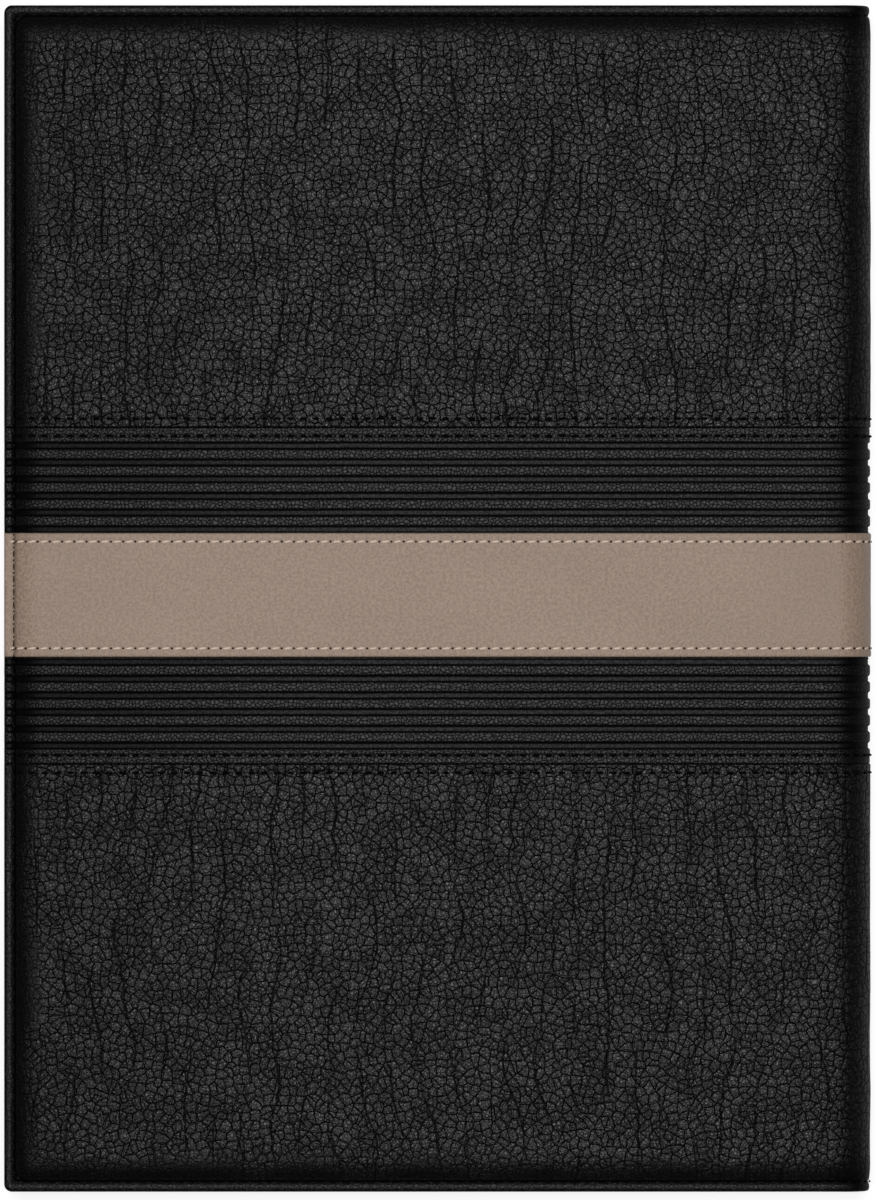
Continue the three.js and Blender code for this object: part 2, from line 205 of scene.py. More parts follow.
class Tree:
    """Builds one material's nodes."""

    MIX_FACTOR = 0
    MIX_FROM = 6
    MIX_TO = 7
    MIX_COLOUR = 2

    def __init__(self, name: str, dimensions: str = "3D") -> None:
        """Start a material with a Principled shader.

        Args:
            name: Name of the material.
            dimensions: Whether its patterns lie flat or fill space.
        """
        self.dimensions = dimensions
        self.material = bpy.data.materials.new(name)
        self.material.use_nodes = True
        self.nodes = self.material.node_tree.nodes
        self.links = self.material.node_tree.links
        self.shader = self.nodes["Principled BSDF"]

    def node(self, kind: str, settings: dict[str, Any], inputs: dict[Any, Any], out: Any = 0) -> Sock:
        """Add a node.

        Args:
            kind: Blender's type name of the node.
            settings: Attributes to set on it.
            inputs: Values or sockets, by input name or index.
            out: Name or index of the output to return.

        Returns:
            The chosen output.
        """
        made = self.nodes.new(kind)
        for name, value in settings.items():
            setattr(made, name, value)
        for name, value in inputs.items():
            self.feed(made.inputs[name], value)
        return Sock(self, made.outputs[out])

    def feed(self, target: Any, value: Any) -> None:
        """Link a socket to an input, or set the input's own value."""
        if isinstance(value, Sock):
            self.links.new(value.socket, target)
        else:
            target.default_value = value

    def flat(self) -> Sock:
        """Return the place on the flat leather in millimetres, from the piece's own attribute."""
        return self.node("ShaderNodeAttribute", {"attribute_name": "flat"}, {}, "Vector")

    def place(self) -> Sock:
        """Return the place in the row frame, in millimetres."""
        where = self.node("ShaderNodeTexCoord", {}, {}, "Object")
        scale = {0: where, "Scale": 1 / MM}
        return self.node("ShaderNodeVectorMath", {"operation": "SCALE"}, scale)

    def stretch(self, vector: Sock, x: float, y: float, z: float) -> Sock:
        """Return a vector with each part scaled."""
        values = {0: vector, 1: (x, y, z)}
        return self.node("ShaderNodeVectorMath", {"operation": "MULTIPLY"}, values)

    def warp(self, vector: Sock, scale: float, amount: float) -> Sock:
        """Return a vector moved about by noise of the given scale and amount."""
        values = {"Vector": vector, "Scale": scale, "Detail": 1.0}
        drift = self.node("ShaderNodeTexNoise", {"noise_dimensions": self.dimensions}, values, "Color")
        values = {0: drift, 1: grey(0.5)}
        centred = self.node("ShaderNodeVectorMath", {"operation": "SUBTRACT"}, values)
        moved = self.stretch(centred, amount, amount, 0.0)
        return self.node("ShaderNodeVectorMath", {"operation": "ADD"}, {0: vector, 1: moved})

    def noise(self, vector: Sock, scale: float, detail: float = 2.0) -> Sock:
        """Return noise from 0 to 1."""
        values = {"Vector": vector, "Scale": scale, "Detail": detail}
        return self.node("ShaderNodeTexNoise", {"noise_dimensions": self.dimensions}, values, "Fac")

    def cells(self, vector: Sock, scale: float) -> Sock:
        """Return the distance from the borders of irregular cells."""
        values = {"Vector": vector, "Scale": scale}
        settings = {"feature": "DISTANCE_TO_EDGE", "voronoi_dimensions": self.dimensions}
        return self.node("ShaderNodeTexVoronoi", settings, values, "Distance")

    def parts(self, vector: Sock) -> tuple[Sock, Sock, Sock]:
        """Return the three parts of a vector."""
        whole = self.node("ShaderNodeSeparateXYZ", {}, {0: vector})
        return tuple(Sock(self, output) for output in whole.socket.node.outputs)

    def mask(self, name: str) -> Sock:
        """Return one of the piece's own number attributes."""
        return self.node("ShaderNodeAttribute", {"attribute_name": name}, {}, "Fac")

    def colour(self, factor: Sock, low: Any, high: Any) -> Sock:
        """Return a colour between two others, each a socket or three numbers."""
        low, high = (end if isinstance(end, Sock) else (*end, 1) for end in (low, high))
        values = {self.MIX_FACTOR: factor, self.MIX_FROM: low, self.MIX_TO: high}
        return self.node("ShaderNodeMix", {"data_type": "RGBA"}, values, self.MIX_COLOUR)

    def bump(self, height: Sock, strength: float, distance: float) -> Sock:
        """Return a bumped normal.

        Args:
            height: Height from 0 to 1.
            strength: Strength of the bump.
            distance: Height of a full bump in millimetres.

        Returns:
            The normal.
        """
        values = {"Height": height, "Strength": strength, "Distance": distance * MM}
        return self.node("ShaderNodeBump", {}, values, "Normal")

    def finish(self, colour: Sock, roughness: Sock, normal: Sock, specular: float) -> bpy.types.Material:
        """Link what varies to the shader.

        Args:
            colour: Base colour.
            roughness: Roughness.
            normal: Bumped normal.
            specular: Level of the plain reflection.

        Returns:
            The finished material.
        """
        self.links.new(colour.socket, self.shader.inputs["Base Color"])
        self.links.new(roughness.socket, self.shader.inputs["Roughness"])
        self.links.new(normal.socket, self.shader.inputs["Normal"])
        self.shader.inputs["Specular IOR Level"].default_value = specular
        return self.material


@dataclass(frozen=True)
class LeatherFinish:
    """Black leather with painted shade in its creases, which are also duller than its flat tops."""

    name: str
    top: tuple[float, float, float]
    # Colour where the tone is lowest: painted shade in the creases and wherever the mask of painted shade
    # is high.
    painted_shade: tuple[float, float, float]
    pebble: float
    gap: float
    depth: float
    wrinkles: float
    patchy: float
    shine: float
    specks: float
    line_pitch: float = 8.5
    line_width: float = 0.5
    smooth_tone: float = 0.5
    coat_roughness: float = 0.4
    specular: float = 0.04

    def build(self) -> bpy.types.Material:
        """Return the material."""
        tree = Tree(self.name, "2D")
        flat = tree.flat()
        warped = tree.warp(flat, 0.55 / self.pebble, 0.5 * self.pebble)
        border = tree.cells(warped, 1.0 / self.pebble)
        large = border.steps(0.0, self.gap)
        dome = border.steps(0.0, 0.4)
        small = tree.cells(warped, 1.9 / self.pebble).steps(0.0, 1.6 * self.gap)
        patch = tree.noise(flat, 0.25 / self.pebble, 0).steps(0.42, 0.6)
        broken = large * (1 - (1 - small) * patch * self.patchy)
        fine = tree.noise(flat, 1.5, 2).steps(0.33, 0.67)
        speck = tree.cells(tree.warp(flat, 0.9, 0.9), 0.95).steps(0.0, 0.3)
        lines = self.long_lines(tree, flat)
        rest = tree.mask("smooth")
        # Dark pebble borders and long creases are painted shade in the grain's creases; the dome term in
        # the flecks is painted shade towards each pebble's edge, the rest random flecks.
        creased = broken * (lines * self.wrinkles + (1 - self.wrinkles))
        tops = creased * (1 - rest) + rest * self.smooth_tone
        flecks_and_dome_shade = (0.42 + fine * 0.58) * (0.75 + dome * 0.25) * (1 - (1 - speck) * self.specks)
        # The mask adds painted shade on the slopes, along seams and stitching, and round the roll.
        tone = tops * (1 - tree.mask("painted_shade")) * flecks_and_dome_shade
        height = tops * 0.4 + fine * 0.15 + (dome + speck * self.specks) * (1 - rest) * 0.3
        rough = 0.55 + (1 - tops) * 0.2 + fine * 0.1
        normal = tree.bump(height, 1.0, self.depth)
        tree.feed(tree.shader.inputs["Coat Weight"], tone * self.shine)
        tree.shader.inputs["Coat Roughness"].default_value = self.coat_roughness
        tree.feed(tree.shader.inputs["Coat Normal"], normal)
        return tree.finish(tree.colour(tone, self.painted_shade, self.top), rough, normal, self.specular)

    def long_lines(self, tree: Tree, flat: Sock) -> Sock:
        """Return 0 on long winding creases that run from head to foot, and 1 away from them."""
        winding = tree.warp(tree.warp(flat, 0.028, 13.0), 0.3, 1.5)
        x, _, _ = tree.parts(winding)
        off = 0.5 - ((x / self.line_pitch).math("FRACT") - 0.5).math("ABSOLUTE")
        line = 1 - off.steps(0.0, self.line_width / self.line_pitch)
        shown = tree.noise(tree.stretch(flat, 0.11, 0.03, 1.0), 1.0, 1).steps(0.34, 0.56)
        return 1 - line * shown


@dataclass(frozen=True)
class BandFinish:
    """Smooth taupe leather with a very fine grain."""

    name: str
    low: tuple[float, float, float]
    high: tuple[float, float, float]

    def build(self) -> bpy.types.Material:
        """Return the material."""
        tree = Tree(self.name, "2D")
        flat = tree.flat()
        fine = tree.noise(flat, 1.05, 2).steps(0.34, 0.66)
        cloud = tree.noise(tree.stretch(flat, 0.5, 1.0, 1.0), 0.05, 3)
        pores = tree.cells(tree.warp(flat, 0.8, 0.8), 0.95).steps(0.0, 0.35)
        # The mask darkens the band with painted shade at its edges, rows and ends.
        tone = (fine * 0.55 + cloud * 0.3 + pores * 0.15) * (1 - tree.mask("painted_shade"))
        rough = 0.42 + fine * 0.16
        normal = tree.bump(pores * 0.55 + fine * 0.45, 0.8, 0.12)
        return tree.finish(tree.colour(tone, self.low, self.high), rough, normal, 0.25)


@dataclass(frozen=True)
class ClothFinish:
    """Woven or leathercloth surfaces, with the weave along X and Y."""

    name: str
    low: tuple[float, float, float]
    high: tuple[float, float, float]
    pitch: float
    rough: float = 0.72

    def build(self) -> bpy.types.Material:
        """Return the material."""
        tree = Tree(self.name)
        place = tree.place()
        x, y, _ = tree.parts(place)
        turn = 2 * math.pi / self.pitch
        weave = (x * turn).math("SINE") * (y * turn).math("SINE") * 0.5 + 0.5
        cloud = tree.noise(place, 0.05, 3)
        fleck = tree.noise(place, 1.1, 3)
        tone = weave * 0.35 + fleck * 0.35 + cloud * 0.3
        rough = self.rough + fleck * 0.2
        normal = tree.bump(weave * 0.6 + fleck * 0.4, 0.4, 0.1)
        return tree.finish(tree.colour(tone, self.low, self.high), rough, normal, 0.35)


@dataclass(frozen=True)
class FibreFinish:
    """Board, card and foam: flecks and fibres through the whole thickness."""

    name: str
    low: tuple[float, float, float]
    high: tuple[float, float, float]
    fleck: float
    bumpiness: float

    def build(self) -> bpy.types.Material:
        """Return the material."""
        tree = Tree(self.name)
        place = tree.place()
        fibres = tree.noise(tree.stretch(place, 1.0, 0.25, 1.0), self.fleck, 4)
        cloud = tree.noise(place, 0.03, 2)
        tone = fibres * 0.7 + cloud * 0.3
        rough = 0.82 + fibres * 0.12
        colour = tree.colour(tone, self.low, self.high)
        return tree.finish(colour, rough, tree.bump(fibres, self.bumpiness, 0.1), 0.2)


@dataclass(frozen=True)
class PaperFinish:
    """Ruled leaves: faint lines on the face and the leaves' edges at the sides."""

    name: str = "ruled_paper"
    paper: tuple[float, float, float] = (0.83, 0.82, 0.77)
    ruling: tuple[float, float, float] = (0.42, 0.52, 0.66)
    pitch: float = 8.0
    line: float = 0.2
    leaf: float = 0.3
    lowest: float = -142.0
    highest: float = 119.0
    strength: float = 0.8

    def build(self) -> bpy.types.Material:
        """Return the material."""
        tree = Tree(self.name)
        place = tree.place()
        _, y, z = tree.parts(place)
        row = (y / self.pitch).math("FRACT") - 0.5
        ruled = 1 - row.math("ABSOLUTE").steps(0.4 * self.line / self.pitch, self.line / self.pitch)
        body = ruled * y.steps(self.lowest, self.lowest + 1) * (1 - y.steps(self.highest - 1, self.highest))
        edges = ((z / self.leaf).math("FRACT") - 0.5).math("ABSOLUTE") * 2
        fibre = tree.noise(place, 0.8, 3)
        pale = tuple(0.93 * value for value in self.paper)
        shade = tree.colour(fibre, pale, self.paper)
        ink = tree.colour(body * self.strength, shade, self.ruling)
        rough = 0.78 + fibre * 0.12
        return tree.finish(ink, rough, tree.bump(edges * 0.8 + fibre * 0.2, 0.35, 0.12), 0.25)


@dataclass(frozen=True)
class ThreadFinish:
    """Twisted sewing thread."""

    name: str
    low: tuple[float, float, float]
    high: tuple[float, float, float]
    specular: float = 0.4

    def build(self) -> bpy.types.Material:
        """Return the material."""
        tree = Tree(self.name)
        place = tree.place()
        x, y, _ = tree.parts(place)
        twist = ((x * 1.3 + y) * (2 * math.pi / 0.55)).math("SINE") * 0.5 + 0.5
        fuzz = tree.noise(place, 2.5, 2)
        tone = twist * 0.6 + fuzz * 0.4
        rough = 0.5 + fuzz * 0.2
        colour = tree.colour(tone, self.low, self.high)
        return tree.finish(colour, rough, tree.bump(twist, 0.5, 0.08), self.specular)


class Finishes:
    """Every material of the folder, built once."""

    def __init__(self) -> None:
        """Build the materials."""
        # The second, darker black is the painted shade in the leather's creases, and the black thread's
        # darker tone.
        black, deep_black = grey(0.0036), grey(0.0003)
        pebbled = {"gap": 0.08, "depth": 0.3, "wrinkles": 0.9, "patchy": 0.4, "shine": 1.0, "specks": 0.6}
        finely = {"gap": 0.1, "depth": 0.14, "wrinkles": 0.0, "patchy": 0.1, "shine": 0.5, "specks": 0.0}
        self.grain = LeatherFinish("pebbled_leather", black, deep_black, 2.5, **pebbled).build()
        self.ribbed = LeatherFinish("ribbed_leather", black, deep_black, 1.1, **finely).build()
        self.band = BandFinish("taupe_leather", (0.225, 0.16, 0.12), (0.37, 0.278, 0.216)).build()
        self.lining = ClothFinish("leathercloth", grey(0.012), (0.04, 0.038, 0.037), 0.9).build()
        self.elastic = ClothFinish("woven_elastic", grey(0.008), grey(0.05), 0.7, 0.8).build()
        self.tape = ClothFinish("binding_tape", (0.012, 0.012, 0.016), (0.06, 0.06, 0.07), 0.6).build()
        self.foam = FibreFinish("foam", grey(0.035), grey(0.12), 1.2, 0.8).build()
        self.board = FibreFinish("pulp_board", (0.2, 0.175, 0.145), (0.36, 0.32, 0.27), 0.7, 0.3).build()
        self.card = FibreFinish("kraft_card", (0.34, 0.24, 0.14), (0.54, 0.41, 0.26), 0.6, 0.2).build()
        self.paper = PaperFinish().build()
        self.black_thread = ThreadFinish("black_thread", deep_black, grey(0.0015), specular=0.02).build()
        self.tan_thread = ThreadFinish("tan_thread", (0.46, 0.33, 0.25), (0.92, 0.76, 0.64)).build()
        # Dark beads at the needle holes, which are painted shade in the holes.
        self.hole = FibreFinish("needle_hole_shade", grey(0.001), (0.004, 0.003, 0.003), 1.0, 0.1).build()


class HalfForm:
    """The outer form of a leather half, on the flat leather's own coordinates in millimetres."""

    rise_start = 2.9
    rise_width = 7.2
    pad_corner = 5.0
    outline_corner = 2.2
    corner_reach = 6.0
    hem_share = 0.2
    round_share = 0.65
    rim_middle = 1.3
    rim_puff = 0.12
    row_dip = 0.3
    lip_width = 0.8
    lip_depth = 0.6

    def __init__(self, half: Half) -> None:
        """Keep which half this is."""
        self.half = half

    def warp(self, u: np.ndarray, y: np.ndarray) -> tuple[np.ndarray, np.ndarray]:
        """Round the square corners of the grid.

        Args:
            u: Distance from the fore edge along the leather.
            y: Height on the page.

        Returns:
            The moved coordinates.
        """
        a, b = u, HALF_HEIGHT - np.abs(y)
        inset = np.minimum(a, b)
        along = np.maximum(a, b) - inset
        radius = np.maximum(self.outline_corner * (1 - inset / self.corner_reach), TINY)
        share = np.clip(along / radius, 0, 1)
        turn = math.pi / 4 * (1 - share)
        near = inset + radius * (1 - np.cos(turn))
        far = np.where(share < 1, inset + radius * (1 - np.sin(turn)), inset + along)
        first = a <= b
        a_new, b_new = np.where(first, near, far), np.where(first, far, near)
        return a_new, np.sign(y) * (HALF_HEIGHT - b_new)

    def inside(self, u: np.ndarray, y: np.ndarray, inset: float, radius: float) -> np.ndarray:
        """Return the distance inside a rounded outline that is moved in by inset."""
        a, b = u - inset, HALF_HEIGHT - inset - np.abs(y)
        corner = radius - np.hypot(np.maximum(radius - a, 0), np.maximum(radius - b, 0))
        return np.where((a < radius) & (b < radius), corner, np.minimum(a, b))

    def depth(self, u: np.ndarray, y: np.ndarray) -> np.ndarray:
        """Return how far the padded form lies below its crown."""
        pad = self.inside(u, y, self.rise_start, self.pad_corner)
        down = np.clip(1 - pad / self.rise_width, 0, 1)
        rise = self.round_share * quarter_round(down) + (1 - self.round_share) * down * down
        share = 1 - (1 - self.hem_share) * on_roll(u, -2, 12)
        edge = self.inside(u, y, 0, self.outline_corner)
        rim = self.row_dip * groove(edge - STITCH_INSET, 0.55)
        rim -= self.rim_puff * groove(edge - self.rim_middle, 0.8)
        lip = self.lip_depth * quarter_round(np.clip(1 - edge / self.lip_width, 0, 1))
        return RIM_DEPTH * rise * share + rim + lip

    def place(self, u: np.ndarray, y: np.ndarray, depth: np.ndarray) -> np.ndarray:
        """Return points in millimetres in the row frame.

        Args:
            u: Distance from the fore edge along the leather.
            y: Height on the page.
            depth: Distance below the crown.

        Returns:
            An array of points.
        """
        turn = np.clip((u - FLAT_LENGTH) / ROLL_RADIUS, 0, math.pi / 2)
        down = np.maximum(u - FLAT_LENGTH - ARC_LENGTH, 0)
        radius = ROLL_RADIUS - depth
        x = np.where(u < FLAT_LENGTH, FORE_EDGE + u, ROLL_CENTRE + radius * np.sin(turn))
        z = THICKNESS - ROLL_RADIUS + radius * np.cos(turn) - down
        if self.half is Half.LOWER:
            z = THICKNESS - z
        return np.stack([x, y, z], axis=-1)


@dataclass(frozen=True)
class Relief:
    """What a panel adds to the padded form: depth, a mask of painted shade and smoothness."""

    depth: np.ndarray
    painted_shade: np.ndarray
    smooth: np.ndarray


@dataclass
class Panel:
    """One closed leather panel of a half."""

    name: str
    form: HalfForm
    low: float
    high: float
    step: float
    seed: int = 3
    skin: float = SKIN

    coarse = 12
    first_step = 0.7
    fold_depth = 0.4
    fold_width = 0.45
    # Strengths of painted shade along the rim's stitching, on the slopes, towards the fore edge and round
    # the roll.
    row_shade = 0.92
    slope_shade = 0.3
    fore_shade = 0.2
    roll_shade = 0.55
    # Inset, depth at the outline, and share of the way down elsewhere, for each ring of the border.
    turned_edge = (
        (0, 4.4, 0.25),
        (0, 5.9, 0.4),
        (0.15, 6.5, 0.5),
        (0.5, 6.85, 0.6),
        (1.75, 6.9, 0.75),
        (1.75, 6.4, 0.85),
        (1.4, 6.3, 0.92),
        (1.4, 4.25, 1),
    )

    def lines_u(self) -> np.ndarray:
        """Return the grid's lines across the leather."""
        start = RIM_LINES[-1] + self.first_step
        count = int((HALF_LENGTH - start) / self.step)
        return np.array([*RIM_LINES, *np.linspace(start, HALF_LENGTH, count + 1)])

    def lines_y(self) -> np.ndarray:
        """Return the grid's lines up the leather, closer together at both ends."""
        low, high = (RIM_LINES if abs(end) == HALF_HEIGHT else EDGE_LINES for end in (self.low, self.high))
        start, end = self.low + low[-1] + 0.5, self.high - high[-1] - 0.5
        middle = np.linspace(start, end, int((end - start) / self.step) + 1)
        return np.array([*(self.low + np.array(low)), *middle, *(self.high - np.array(high[::-1]))])

    def relief(self, u: np.ndarray, y: np.ndarray) -> Relief:
        """Return the panel's own relief; plain unless a kind of panel says otherwise."""
        return Relief(np.zeros_like(u), np.zeros_like(u), np.zeros_like(u))

    def rim_shade(self, u: np.ndarray, y: np.ndarray) -> np.ndarray:
        """Return the painted shade along the groove of the rim's stitching."""
        edge = self.form.inside(u, y, 0, self.form.outline_corner)
        return self.row_shade * groove(edge - STITCH_INSET - 0.1, 0.5) * (1 - on_roll(u, 0, 12))

    def painted_edge_shade(self, u: np.ndarray, y: np.ndarray) -> np.ndarray:
        """Return the painted shade on the leather's slopes, towards the fore edge and round the roll."""
        edge = self.form.inside(u, y, 0, self.form.outline_corner)
        slope = smooth_step(2.6, 3.4, edge) * (1 - smooth_step(5, 13, edge))
        near = (1 - smooth_step(5, 90, u)) * smooth_step(2.6, 3.4, edge)
        return self.slope_shade * slope + self.fore_shade * near + self.roll_shade * on_roll(u, -6, 5)

    def folds(self, y: np.ndarray) -> np.ndarray:
        """Return how far the leather folds down at its seams."""
        total = np.zeros_like(y)
        for end in (self.low, self.high):
            if abs(end) < HALF_HEIGHT:
                near = np.clip(1 - np.abs(y - end) / self.fold_width, 0, 1)
                total += self.fold_depth * quarter_round(near)
        return total

    def ring(self, border: tuple[np.ndarray, ...], inset: float, deep: float, share: float) -> np.ndarray:
        """Return one ring of points down the border.

        Args:
            border: Its coordinates along and up the leather, and its depth on the outside.
            inset: How far the ring lies inside the outline.
            deep: Depth of the ring at the outline.
            share: How far down a seam or the spine's middle the ring lies, from 0 to 1.

        Returns:
            The ring's points.
        """
        u, y, top = border
        b = HALF_HEIGHT - np.abs(y)
        outline = (u < TINY) | (b < TINY)
        turned = outline * (1 - on_roll(u, -9, 2))
        near_u, near_b = 1 - smooth_step(3, 12, u), 1 - smooth_step(3, 12, b)
        u_in = u + inset * turned * np.where(u < TINY, 1, near_u)
        y_in = np.sign(y) * (HALF_HEIGHT - b - inset * turned * np.where(b < TINY, 1, near_b))
        u_in, y_in = self.form.warp(u_in, y_in)
        depth = top + 0.9 * self.skin * share
        return self.form.place(u_in, y_in, depth + (deep - depth) * turned)

    def build(self) -> bpy.types.Object:
        """Return the panel as a closed mesh with its attributes."""
        lu, ly = self.lines_u(), self.lines_y()
        u, y = np.meshgrid(lu, ly, indexing="ij")
        wu, wy = self.form.warp(u, y)
        relief = self.relief(wu, wy)
        top = self.form.depth(wu, wy) + relief.depth + self.folds(wy)
        outer = self.form.place(wu, wy, top)
        nu, ny = u.shape
        index = np.arange(nu * ny).reshape(nu, ny)
        corners = (index[:-1, :-1], index[1:, :-1], index[1:, 1:], index[:-1, 1:])
        quads = [np.stack(corners, -1).reshape(-1, 4)]

        walk = np.concatenate([index[:-1, 0], index[-1, :-1], index[:0:-1, -1], index[0, :0:-1]])
        points = [outer.reshape(-1, 3)]
        border = tuple(values.reshape(-1)[walk] for values in (u, y, top))
        before, count = walk, nu * ny
        for inset, deep, share in self.turned_edge:
            points.append(self.ring(border, inset, deep, share))
            ring = count + np.arange(len(walk))
            quads.append(np.stack([before, ring, np.roll(ring, -1), np.roll(before, -1)], -1))
            before, count = ring, count + len(walk)

        last = {int(vertex): int(ring) for vertex, ring in zip(walk, before)}
        ci = [*range(0, nu - 1, self.coarse), nu - 1]
        cj = [*range(0, ny - 1, self.coarse), ny - 1]
        inner_u, inner_y = wu[np.ix_(ci, cj)], wy[np.ix_(ci, cj)]
        inner_depth = self.form.depth(inner_u, inner_y) + self.base_depth(inner_y) + self.skin
        points.append(self.form.place(inner_u, inner_y, inner_depth).reshape(-1, 3))
        inner = {}
        for p, i in enumerate(ci):
            for q, j in enumerate(cj):
                rim = i in (0, nu - 1) or j in (0, ny - 1)
                inner[p, q] = last[int(index[i, j])] if rim else count + p * len(cj) + q
        faces = [tuple(map(int, row)) for row in np.concatenate(quads)]
        for p in range(len(ci) - 1):
            for q in range(len(cj) - 1):
                faces.append(self.cell(index, last, inner, ci, cj, p, q))

        vertices = np.concatenate(points)
        used = sorted({vertex for face in faces for vertex in face})
        remap = {vertex: i for i, vertex in enumerate(used)}
        faces = [tuple(remap[vertex] for vertex in face) for face in faces]
        if self.form.half is Half.LOWER:
            faces = [face[::-1] for face in faces]
        made = new_object(self.name, vertices[used] * MM, faces)
        flat = self.flat_of(wu, wy, walk, len(vertices))[used]
        put_vector(made, "flat", flat)
        # The mask of painted shade and the smoothness go to the material as attributes.
        for name, values in (("painted_shade", relief.painted_shade), ("smooth", relief.smooth)):
            full = np.zeros(len(vertices))
            full[: nu * ny] = values.reshape(-1)
            put_number(made, name, full[used])
        return made

    def base_depth(self, y: np.ndarray) -> np.ndarray:
        """Return how much lower than the crown the inside of the panel lies."""
        return np.zeros_like(y)

    def cell(self, index: np.ndarray, last: dict, inner: dict, ci: list, cj: list, p: int, q: int) -> tuple:
        """Return one face of the inside, with every border vertex that lies on it.

        Args:
            index: Vertex numbers of the grid.
            last: The innermost ring's vertex at each vertex of the border.
            inner: The inside's vertex at each coarse place.
            ci: Coarse lines along the leather.
            cj: Coarse lines up the leather.
            p: The face's place along the leather.
            q: The face's place up the leather.

        Returns:
            The face's vertex numbers.
        """
        i0, i1, j0, j1 = ci[p], ci[p + 1], cj[q], cj[q + 1]
        nu, ny = index.shape
        face = [inner[p, q]]
        if i0 == 0:
            face += [last[int(index[0, j])] for j in range(j0 + 1, j1)]
        face.append(inner[p, q + 1])
        if j1 == ny - 1:
            face += [last[int(index[i, j1])] for i in range(i0 + 1, i1)]
        face.append(inner[p + 1, q + 1])
        if i1 == nu - 1:
            face += [last[int(index[i1, j])] for j in range(j1 - 1, j0, -1)]
        face.append(inner[p + 1, q])
        if j0 == 0:
            face += [last[int(index[i, 0])] for i in range(i1 - 1, i0, -1)]
        return tuple(face)

    def flat_of(self, u: np.ndarray, y: np.ndarray, walk: np.ndarray, total: int) -> np.ndarray:
        """Return the flat leather's coordinates for every vertex."""
        flat = np.zeros((total, 3))
        flat[: u.size, 0], flat[: u.size, 1] = u.reshape(-1), y.reshape(-1)
        border = flat[walk]
        start = u.size
        for number in range(len(self.turned_edge)):
            flat[start : start + len(walk)] = border + [0, 0, 1.0 + number]
            start += len(walk)
        return flat


@dataclass
class GrainPanel(Panel):
    """A pebbled panel with long creases."""

    pebble: float = 2.7
    mean_depth: float = 0.14
    wave_depth: float = 0.16
    ripple_depth: float = 0.06
    lump_depth: float = 0.035
    wrinkle_depth: float = 0.1
    pull: float = 0.15

    def relief(self, u: np.ndarray, y: np.ndarray) -> Relief:
        """Return long creases, a soft waviness and the pull of the seam's stitches."""
        soft, long = SmoothNoise(self.seed), SmoothNoise(self.seed + 2)
        run = long.fractal(u / 15, y / 55, 2)
        wrinkle = groove(run, 0.05) * smooth_step(-0.4, 0.3, long.at(u / 17 + 9, y / 23))
        edge = np.minimum(u, HALF_HEIGHT - np.abs(y))
        fade = smooth_step(1.5, 13, edge + 4 * soft.at(u / 9, y / 9))
        seam = np.abs(y - BAND_CENTRE) - SEAM_HALF
        stitched = groove(seam - ROW_INSET, 0.5)
        wave = self.mean_depth + self.wave_depth * soft.fractal(u / 23 + 3, y / 31)
        wave += self.ripple_depth * soft.at(u / 6, y / 8) + self.wrinkle_depth * wrinkle
        lumps = self.lump_depth * soft.at(u / self.pebble, y / self.pebble)
        depth = (wave + lumps) * fade + self.pull * stitched
        # Painted shade along the seam's row, the rim's stitching, the slopes and the roll.
        painted_shade = np.clip(0.1 * stitched + self.rim_shade(u, y) + self.painted_edge_shade(u, y), 0, 1)
        return Relief(depth, painted_shade, 1 - fade)


@dataclass
class RibbedPanel(Panel):
    """The fine-grained middle panel with its pressed channels and the bed of the band."""

    band_half: float = BAND_HALF
    first: float = 1.2
    pitch: float = 4.72
    channels: int = 6
    half_width: float = 0.86
    drop: float = 0.3
    channel_depth: float = 0.5
    line_depth: float = 0.14
    crown_height: float = 0.084
    last_rib: float = 26.0
    wave_depth: float = 0.05
    pull: float = 0.14
    line_shade: float = 0.95
    fine_step: float = 0.32
    bed_lines: int = 14

    def lines_y(self) -> np.ndarray:
        """Return lines close together on the ribs and far apart under the band."""
        bed = self.band_half - 1
        ends = np.array(EDGE_LINES)
        low = np.arange(self.low + 0.95, BAND_CENTRE - bed, self.fine_step)
        high = np.arange(BAND_CENTRE + bed, self.high - 0.8, self.fine_step)
        middle = np.linspace(low[-1] + 2, high[0] - 2, self.bed_lines)
        return np.array([*(self.low + ends), *low, *middle, *high, *(self.high - ends[::-1])])

    def relief(self, u: np.ndarray, y: np.ndarray) -> Relief:
        """Return ribs, channels with painted shade along their edges, and a little waviness."""
        soft = SmoothNoise(self.seed)
        away = np.abs(y - BAND_CENTRE - 0.04 * soft.at(u / 14, y / 30)) - self.band_half - self.first
        number = np.clip(np.round(away / self.pitch), 0, self.channels - 1)
        offset = np.abs(away - number * self.pitch)
        inside = 1 - smooth_step(self.half_width - 0.2, self.half_width + 0.12, offset)
        line = groove(offset - self.half_width, 0.17)
        bed = 1 - smooth_step(-self.first, -self.first + 0.4, away)
        swell = 0.5 - 0.5 * np.cos(2 * math.pi * np.maximum(away, 0) / self.pitch)
        crown = self.crown_height * swell * (away < self.last_rib)
        stitched = groove(np.abs(y - BAND_CENTRE) - SEAM_HALF + ROW_INSET, 0.5)
        depth = self.drop + self.channel_depth * np.maximum(inside, bed) - crown * (1 - inside)
        depth += self.wave_depth * soft.fractal(u / 15, y / 15)
        depth += self.line_depth * line + self.pull * stitched
        # Painted shade: in the channels towards the fore edge, on the slopes and round the roll.
        dim = 0.4 * inside * (1 - smooth_step(15, 120, u)) + self.painted_edge_shade(u, y)
        painted_shade = np.clip(self.line_shade * line + 0.1 * stitched + dim + self.rim_shade(u, y), 0, 1)
        return Relief(depth, painted_shade, inside)

    def base_depth(self, y: np.ndarray) -> np.ndarray:
        """Return how much lower than the crown the inside of the panel lies."""
        return np.full_like(y, self.drop + 0.3)


